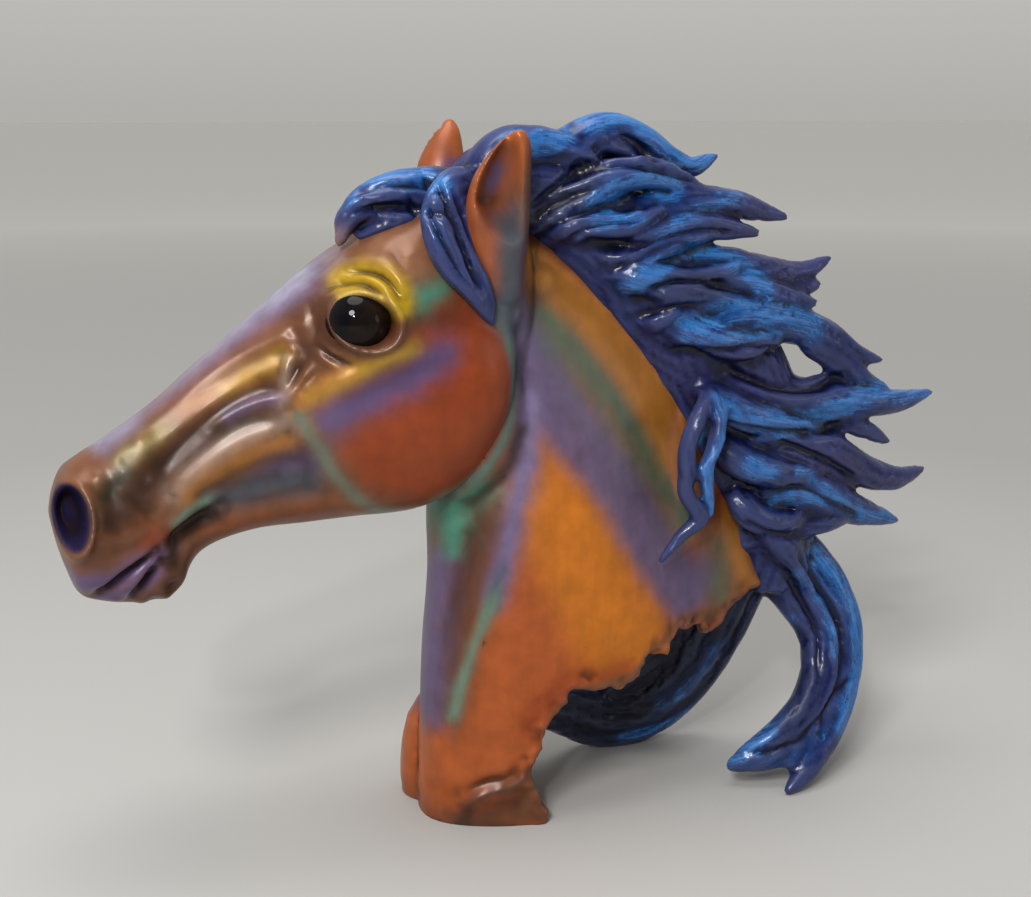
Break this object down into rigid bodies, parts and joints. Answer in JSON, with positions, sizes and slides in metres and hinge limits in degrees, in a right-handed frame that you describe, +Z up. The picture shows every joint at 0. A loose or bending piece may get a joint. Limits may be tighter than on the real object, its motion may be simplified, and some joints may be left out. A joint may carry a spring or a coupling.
{
  "type": "horse head sculpture",
  "caption": "Painted cast resin horse head with a flying mane and a torn neck edge, standing on its chest and two curled locks.",
  "frame": {"origin": "under the middle of the sculpture's box, on the surface that it stands on", "axes": "-X the way the horse looks, -Y towards its left side, +Z up"},
  "size_m": [0.255, 0.0574, 0.1907],
  "materials": {
    "painted_hide": "cast resin, bronze-brown metallic paint with airbrushed patches of terracotta, ochre, violet, teal and yellow, satin lacquer",
    "painted_mane": "cast resin, indigo and bright blue brushed paint, gloss lacquer",
    "gloss_eye": "cast resin, near-black paint under clear gloss"
  },
  "bodies": {
    "root": {"horse_head": "painted_hide"}
  },
  "joints": []
}
